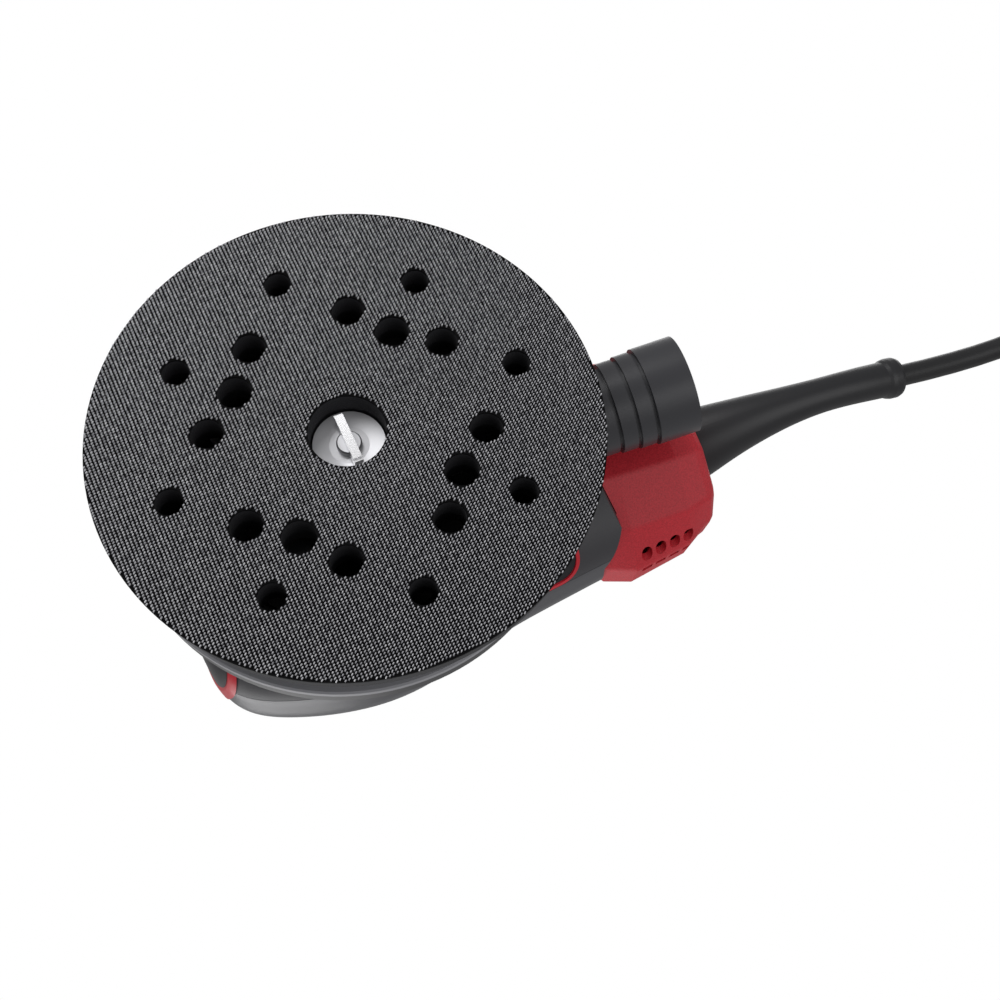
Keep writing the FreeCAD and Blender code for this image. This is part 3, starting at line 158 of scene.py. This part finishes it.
# a hook stands wherever the ground cloth is under both of its ends, so none hangs over a dust hole
cloth = BVHTree.FromPolygons(
    [vert.co for vert in mesh.vertices],
    [tuple(face.vertices) for face in mesh.polygons if face.normal.z < -0.9])
bm = bmesh.new()
across = Matrix.Rotation(WEAVE_TURN, 4, "Z")
rows = int(0.075 / COURSE_PITCH) + 2
columns = int(0.075 / WALE_PITCH) + 2
for row in range(-rows, rows + 1):
    for column in range(-columns, columns + 1):
        centre = across @ Vector((column * WALE_PITCH, row * COURSE_PITCH, 0))
        centre += Vector((random.gauss(0, 0.00003), random.gauss(0, 0.00003), 0))
        lean = HOOK_LEAN + random.gauss(0, 0.08)
        along = Vector((math.cos(lean), math.sin(lean), 0)) * HOOK_HALF_LENGTH * random.uniform(0.85, 1.1)
        ends = (centre + along, centre - along)
        if any(cloth.ray_cast(end, Vector((0, 0, 1)), 0.002)[0] is None for end in ends):
            continue
        side = Vector((-along.y, along.x, 0)).normalized() * HOOK_HALF_WIDTH
        foot = Vector((0, 0, HOOK_HEIGHT))
        corners = ((1, 1), (1, -1), (-1, -1), (-1, 1))
        low = [bm.verts.new(centre + a * along + b * side + foot) for a, b in corners]
        crown = Vector((0, 0, random.uniform(0.0, 0.00006)))
        high = [bm.verts.new(centre + a * along * 0.72 + b * side * 0.62 + crown) for a, b in corners]
        bm.faces.new(high)
        for k in range(4):
            bm.faces.new((low[k], low[(k + 1) % 4], high[(k + 1) % 4], high[k]))
mesh = bpy.data.meshes.new("hook_field")
bm.normal_update()
bmesh.ops.recalc_face_normals(bm, faces=bm.faces)
bm.to_mesh(mesh)
bm.free()
hook_field = place(mesh, "hook_field", hook_filament, "hook_fabric", "pad", ["hook_facing"])

# ---------------------------------------------------------------------------
# Foam pad and its plate.
foam = new_material("closed_cell_pu_foam")
spot = add(foam, "TexCoord")
cells = add(foam, "TexVoronoi", {"Vector": spot.outputs["Object"], "Scale": 1400.0})
rough = add(foam, "Bump", {"Height": cells.outputs["Distance"], "Strength": 0.5, "Distance": 0.0003})
close(foam, add(foam, "BsdfPrincipled", {
    "Base Color": linear("#26262a"), "Roughness": 0.85, "Normal": rough.outputs["Normal"]}))
foam_disc = joined_copy("foam_pad", "foam_disc", foam, "pad_foam", "pad")


def moulded(name, colour, roughness, grain, relief, specular=0.5, coat=0.0):
    """Injection-moulded plastic with a spark-eroded grain of that size and depth, in millimetres."""
    material = new_material(name)
    place_in_piece = add(material, "TexCoord")
    sparks = add(material, "TexNoise", {
        "Vector": place_in_piece.outputs["Object"], "Scale": 1000.0 / grain, "Detail": 3.0,
        "Roughness": 0.6})
    bumps = add(material, "Bump", {
        "Height": sparks.outputs["Fac"], "Strength": 1.0, "Distance": relief / 1000.0})
    close(material, add(material, "BsdfPrincipled", {
        "Base Color": linear(colour), "Roughness": roughness, "IOR": 1.5,
        "Specular IOR Level": specular, "Coat Weight": coat, "Coat Roughness": 0.2,
        "Normal": bumps.outputs["Normal"]}))
    return material


pad_nylon = moulded("glass_filled_pa6_pad", "#1c1c1f", 0.5, 0.8, 0.01)
for node in ("pad_plate", "pad_hub"):
    dress(node, pad_nylon)

# ---------------------------------------------------------------------------
# Clamp washer, screw and wing key.


def metal(name, colour, roughness, grain, relief):
    """Bare or plated metal with a fine surface grain."""
    material = new_material(name)
    place_in_piece = add(material, "TexCoord")
    marks = add(material, "TexNoise", {
        "Vector": place_in_piece.outputs["Object"], "Scale": 1000.0 / grain, "Detail": 2.0})
    bumps = add(material, "Bump", {
        "Height": marks.outputs["Fac"], "Strength": 1.0, "Distance": relief / 1000.0})
    close(material, add(material, "BsdfPrincipled", {
        "Base Color": linear(colour), "Metallic": 1.0, "Roughness": roughness,
        "Normal": bumps.outputs["Normal"]}))
    return material


zinc = metal("zinc_plated_steel", "#c9c9cc", 0.42, 0.5, 0.004)
dress("clamp_washer", zinc)
dress("clamp_screw", zinc)
bright = metal("bright_nickel_steel", "#e6e6e8", 0.25, 0.5, 0.002)
dress("wing_key", bright)
ground_steel = metal("ground_bearing_steel", "#d0d0d2", 0.22, 0.3, 0.001)
for node in ("spindle_bearing_inner_rings", "spindle_bearing_outer_rings", "spindle_bearing_balls",
             "motor_bearing_inner_rings", "motor_bearing_outer_rings", "motor_bearing_balls"):
    dress(node, ground_steel)
turned_steel = metal("turned_steel", "#a9a9ad", 0.38, 0.4, 0.003)
for node in ("spindle", "rotor_shaft", "counterweight", "flange_screws", "cord_clamp_screws", "key_spring"):
    dress(node, turned_steel)
cast_aluminium = metal("die_cast_aluminium", "#b4b5b8", 0.55, 0.9, 0.02)
for node in ("eccentric_carrier", "bearing_plate", "motor_can"):
    dress(node, cast_aluminium)
laminations = metal("laminated_electrical_steel", "#77787d", 0.5, 0.35, 0.01)
for node in ("rotor_core", "stator_core"):
    dress(node, laminations)
magnets = metal("nickel_plated_magnet", "#8f9095", 0.35, 0.5, 0.002)
dress("rotor_magnets", magnets)
copper = metal("enamelled_copper", "#b5622e", 0.35, 0.5, 0.01)
dress("stator_windings", copper)
fan_nylon = moulded("glass_filled_pa6_fan", "#232326", 0.45, 0.9, 0.01)
dress("dust_fan", fan_nylon)

# ---------------------------------------------------------------------------
# Dust shroud, its soft rim and the pad brake. The shroud is a black nylon
# moulding screwed under the housing; a soft rim is clipped round its edge, and
# the rim's pale grey is a painted highlight for light caught on its rounded lip.
black_nylon = moulded("black_pa6", "#2c2b2f", 0.36, 0.5, 0.02)
dress("dust_shroud", black_nylon)
# the rim's pale grey colour is a painted highlight on the lip edge; the rim itself is a real part
dress("shroud_rim", moulded("rim_tpe_painted_highlight", "#8f8f94", 0.32, 0.5, 0.01))
dress("brake_skirt", moulded("black_nbr_skirt", "#1e1e20", 0.65, 0.5, 0.02))

# ---------------------------------------------------------------------------
# Hose adaptor. A turned-looking nylon sleeve in rising steps, moulded in one
# and pressed over the shroud's stub.
dress("hose_adaptor", moulded("adaptor_pa6", "#39393d", 0.36, 0.45, 0.015))

# ---------------------------------------------------------------------------
# Housing shells. The lower housing is charcoal glass-filled nylon, the side
# covers are gunmetal ABS, and a red stripe and a black nose close the front.
dress("lower_housing", moulded("charcoal_pa6_spark_texture", "#403f43", 0.5, 0.45, 0.04))
gunmetal_abs = moulded("gunmetal_abs", "#4a4a4f", 0.34, 0.4, 0.012)
for node in ("left_side_cover", "right_side_cover"):
    dress(node, gunmetal_abs)
dress("front_nose", moulded("nose_pa6", "#2a292d", 0.4, 0.5, 0.02))
red_abs = moulded("red_abs", "#d01f30", 0.32, 0.4, 0.01)
for node in ("front_stripe", "grip_piping", "power_key"):
    dress(node, red_abs)
dress("tail_deck", moulded("deck_pa6", "#403f43", 0.5, 0.45, 0.04))

# ---------------------------------------------------------------------------
# Grips. Black thermoplastic rubber is moulded over the housing where the palm
# and fingers hold it, with a fine pimpled surface.
soft_tpe = new_material("black_tpe_grip")
spot = add(soft_tpe, "TexCoord")
pimples = add(soft_tpe, "TexVoronoi", {
    "Vector": spot.outputs["Object"], "Scale": 900.0, "Randomness": 0.15})
crown = add(soft_tpe, "MapRange", {
    "Value": pimples.outputs["Distance"], "From Min": 0.15, "From Max": 0.5, "To Min": 1.0, "To Max": 0.0})
bumps = add(soft_tpe, "Bump", {"Height": crown.outputs[0], "Strength": 0.6, "Distance": 0.00012})
close(soft_tpe, add(soft_tpe, "BsdfPrincipled", {
    "Base Color": linear("#29292c"), "Roughness": 0.72, "Specular IOR Level": 0.35,
    "Normal": bumps.outputs["Normal"]}))
for node in ("palm_grip", "left_finger_grip", "right_finger_grip"):
    dress(node, soft_tpe)

# ---------------------------------------------------------------------------
# Tail cap. One red ABS moulding over the control electronics, spark-eroded so
# that it looks finely grained, with vent holes in both flanks.
cap_abs = new_material("red_abs_spark_texture")
spot = add(cap_abs, "TexCoord")
sparks = add(cap_abs, "TexNoise", {
    "Vector": spot.outputs["Object"], "Scale": 1900.0, "Detail": 3.0, "Roughness": 0.65})
bumps = add(cap_abs, "Bump", {"Height": sparks.outputs["Fac"], "Strength": 1.0, "Distance": 0.00009})
shade = add(cap_abs, "ValToRGB", {"Fac": sparks.outputs["Fac"]})
shade.color_ramp.elements[0].position = 0.32
shade.color_ramp.elements[0].color = linear("#b81f2c")
shade.color_ramp.elements[1].position = 0.62
shade.color_ramp.elements[1].color = linear("#d62b38")
close(cap_abs, add(cap_abs, "BsdfPrincipled", {
    "Base Color": shade.outputs["Color"], "Roughness": 0.5, "Normal": bumps.outputs["Normal"]}))
dress("tail_cap", cap_abs)

# ---------------------------------------------------------------------------
# Controls inside and on the deck: switch block, dial block, speed wheel and
# the potted motor electronics.
for node in ("switch_module", "dial_block", "cord_clamp", "speed_wheel"):
    dress(node, black_nylon)
dress("control_module", moulded("potting_resin", "#1a1b1d", 0.3, 0.5, 0.01))

# ---------------------------------------------------------------------------
# Strain relief, inner lead, tie and plug. Black rubber, moulded on the lead.
relief_rubber = moulded("black_nbr_relief", "#232326", 0.42, 0.5, 0.012)
dress("strain_relief", relief_rubber)
dress("inner_lead", relief_rubber)
dress("plug_body", moulded("black_rubber_plug", "#222224", 0.5, 0.5, 0.015))
dress("coil_tie", moulded("woven_tie_cloth", "#202022", 0.85, 0.5, 0.05))
dress("plug_pins", metal("brass_pin", "#d9c07a", 0.25, 0.4, 0.002))

# ---------------------------------------------------------------------------
# Lead.
cord_rubber = moulded("h05rn_rubber_sheath", "#1f1f21", 0.45, 0.5, 0.012)
LEAD_EXIT = (0.200361, 0.0, 0.079627)
LEAD_RADIUS = 0.0039
lead_route = [LEAD_EXIT, (0.239869, 0.0, 0.085885), (0.272, -0.0005, 0.0705),
              (0.286, -0.004, 0.0355), (0.316, -0.016, 0.0125), (0.344, -0.0266, 0.0039),
              (0.368, -0.0266, 0.0039)]
COIL_CENTRE = Vector((0.382, 0.034, 0))
POINTS_PER_TURN = 16
layers = [(0.0039, (0.0606, 0.0528, 0.0450, 0.0372, 0.0294)),
          (0.010655, (0.0333, 0.0411, 0.0489, 0.0567)),
          (0.018455, (0.0489, 0.0411, 0.0333, 0.0567))]
turns = [(height, radius) for height, radii in layers for radius in radii]
last = len(turns) - 1
for number, (height, radius) in enumerate(turns):
    before = turns[max(number - 1, 0)]
    for step in range(POINTS_PER_TURN):
        if number == last and step > POINTS_PER_TURN // 2:
            break
        change = POINTS_PER_TURN // 2 - 2 if number == last else 4
        share = min(step / change, 1.0)
        share = share * share * (3 - 2 * share)
        r = before[1] + (radius - before[1]) * share
        z = before[0] + (height - before[0]) * share
        if number == last:
            z += 0.0082 * math.sin(math.pi * min(step / change, 1.0)) ** 0.6
        angle = -math.pi / 2 + 2 * math.pi * step / POINTS_PER_TURN
        wide = r / math.cos(math.pi / POINTS_PER_TURN)
        lead_route.append((COIL_CENTRE.x + wide * math.cos(angle), COIL_CENTRE.y + wide * math.sin(angle), z))
lead_route += [(0.352, 0.0907, 0.018455), (0.336, 0.0907, 0.018455), (0.324, 0.0907, 0.018455)]
curve = bpy.data.curves.new("lead", "CURVE")
curve.dimensions = "3D"
curve.bevel_depth = LEAD_RADIUS
curve.bevel_resolution = 5
curve.use_fill_caps = True
curve.resolution_u = 6
spline = curve.splines.new("NURBS")
spline.points.add(len(lead_route) - 1)
for point, spot in zip(spline.points, lead_route):
    point.co = (*spot, 1.0)
spline.order_u = 3
spline.use_endpoint_u = True
lead = bpy.data.objects.new("lead", curve)
bpy.context.scene.collection.objects.link(lead)
curve.materials.append(cord_rubber)
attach(lead, "housing")
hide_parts("cord", "cord_coil")

# ---------------------------------------------------------------------------
# Studio: a pale floor under the pad, a white surround, soft lamps, and the camera.
paper = new_material("pale_paper")
see_through = add(paper, "BsdfTransparent")
face = add(paper, "BsdfDiffuse", {"Color": linear("#f2f2f0")})
side = add(paper, "NewGeometry")
close(paper, add(paper, "MixShader", {0: side.outputs["Backfacing"], 1: face.outputs[0], 2: see_through.outputs[0]}))
bm = bmesh.new()
bmesh.ops.create_grid(bm, x_segments=1, y_segments=1, size=4.0, matrix=Matrix.Translation((0, 0, -0.0003)))
mesh = bpy.data.meshes.new("floor")
bm.to_mesh(mesh)
bm.free()
mesh.materials.append(paper)
floor = bpy.data.objects.new("floor", mesh)
bpy.context.scene.collection.objects.link(floor)
floor.visible_shadow = False
floor.visible_diffuse = False
floor.visible_glossy = False

world = bpy.data.worlds.new("studio")
bpy.context.scene.world = world
world.use_nodes = True
tree = world.node_tree
for node in list(tree.nodes):
    tree.nodes.remove(node)
path = tree.nodes.new("ShaderNodeLightPath")
dim = tree.nodes.new("ShaderNodeBackground")
dim.inputs["Color"].default_value = (1, 1, 1, 1)
dim.inputs["Strength"].default_value = 0.35
white = tree.nodes.new("ShaderNodeBackground")
white.inputs["Color"].default_value = (1, 1, 1, 1)
white.inputs["Strength"].default_value = 1.0
mix = tree.nodes.new("ShaderNodeMixShader")
out = tree.nodes.new("ShaderNodeOutputWorld")
tree.links.new(path.outputs["Is Camera Ray"], mix.inputs[0])
tree.links.new(dim.outputs[0], mix.inputs[1])
tree.links.new(white.outputs[0], mix.inputs[2])
tree.links.new(mix.outputs[0], out.inputs["Surface"])


def softbox(name, place, aim, width, height, power):
    """A soft rectangular lamp that faces a point."""
    lamp = bpy.data.lights.new(name, "AREA")
    lamp.shape = "RECTANGLE"
    lamp.size, lamp.size_y, lamp.energy = width, height, power
    holder = bpy.data.objects.new(name, lamp)
    bpy.context.scene.collection.objects.link(holder)
    holder.location = place
    holder.rotation_euler = (Vector(aim) - Vector(place)).to_track_quat("-Z", "Y").to_euler()
    holder.visible_camera = False


softbox("key_below", (-0.35, -0.75, -0.75), (0, 0, 0.03), 0.9, 0.9, 7.0)
softbox("fill_below", (0.55, 0.6, -0.7), (0, 0, 0.03), 0.8, 0.8, 2.5)
softbox("key_above", (-0.6, 0.7, 0.9), (0.05, 0, 0.05), 0.9, 0.9, 7.0)
softbox("fill_above", (0.8, -0.8, 0.8), (0.05, 0, 0.05), 0.9, 0.9, 4.0)

camera_data = bpy.data.cameras.new("camera")
camera_data.lens = 49.77
camera_data.sensor_width = 36.0
camera_data.clip_start = 0.01
camera = bpy.data.objects.new("camera", camera_data)
bpy.context.scene.collection.objects.link(camera)
forward = Vector((0.15546434, -0.37458534, 0.91406601)).normalized()
upward = Vector((0.28260759, -0.86977672, -0.40450143)).normalized()
right = forward.cross(upward)
turn = Matrix((right, upward, -forward)).transposed().to_4x4()
camera.matrix_world = Matrix.Translation((-0.02585730, 0.18045273, -0.35609529)) @ turn
bpy.context.scene.camera = camera
bpy.context.scene.view_settings.view_transform = "Standard"
